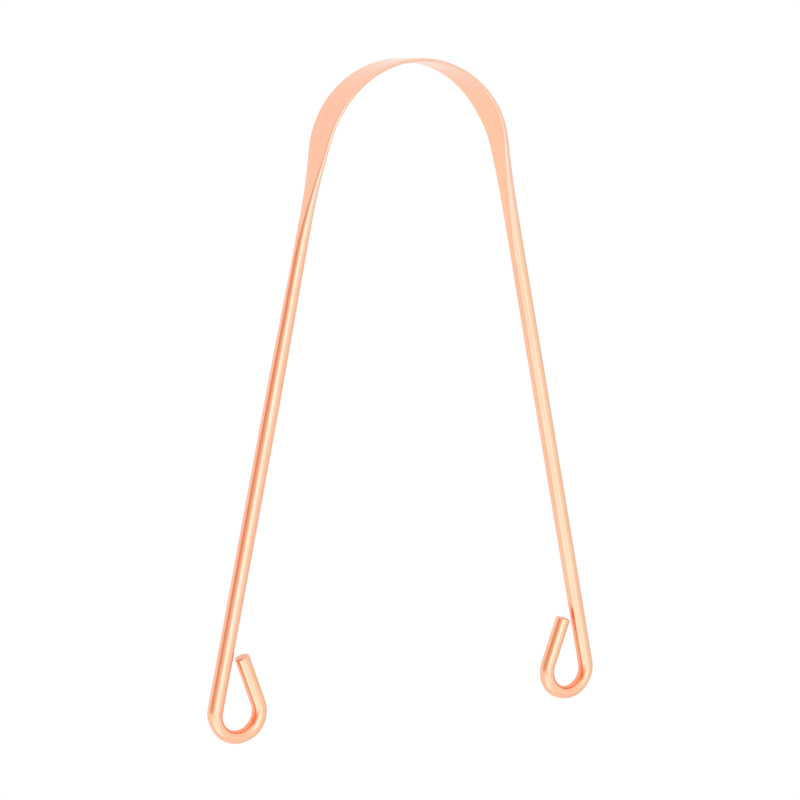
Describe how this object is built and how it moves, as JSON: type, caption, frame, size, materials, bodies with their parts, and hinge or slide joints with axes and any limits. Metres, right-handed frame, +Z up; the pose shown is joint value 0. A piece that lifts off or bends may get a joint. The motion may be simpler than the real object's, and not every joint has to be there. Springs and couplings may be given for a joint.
{
  "type": "tongue scraper",
  "caption": "Tongue scraper bent from copper wire: a pressed flat scraping band in an arch, springy round arms and an open eye at each end.",
  "frame": {"origin": "middle of the object's box in X and Y, on the plane that the band's lower edge rests on", "axes": "+Y from the eyes towards the top of the arch, +X to the right with the arch pointing away, +Z up out of the plane of the bends"},
  "size_m": [0.0858, 0.1264, 0.0085],
  "materials": {
    "pressed_copper": "bare copper, pressed flat, satin",
    "drawn_copper": "bare drawn copper wire, softly polished",
    "bent_copper": "bare bent copper wire, softly polished, end cut square"
  },
  "bodies": {
    "arch": {"scraping_band": "pressed_copper", "left_shoulder": "pressed_copper", "right_shoulder": "pressed_copper"},
    "left_arm": {"left_neck": "pressed_copper", "left_leg": "drawn_copper", "left_eye": "bent_copper", "left_tail": "bent_copper"},
    "right_arm": {"right_neck": "pressed_copper", "right_leg": "drawn_copper", "right_eye": "bent_copper", "right_tail": "bent_copper"}
  },
  "joints": [
    {"name": "left_arm_flex", "type": "hinge", "parent": "arch", "child": "left_arm", "pos_m": [-0.01784, 0.05201, 0.00428], "axis": [0, 0, 1], "range_deg": [-5, 8], "stiffness_Nm_per_rad": 0.67, "deforming": ["left_shoulder"]},
    {"name": "right_arm_flex", "type": "hinge", "parent": "arch", "child": "right_arm", "pos_m": [0.01784, 0.05201, 0.00428], "axis": [0, 0, -1], "range_deg": [-5, 8], "stiffness_Nm_per_rad": 0.85, "deforming": ["right_shoulder"]}
  ]
}
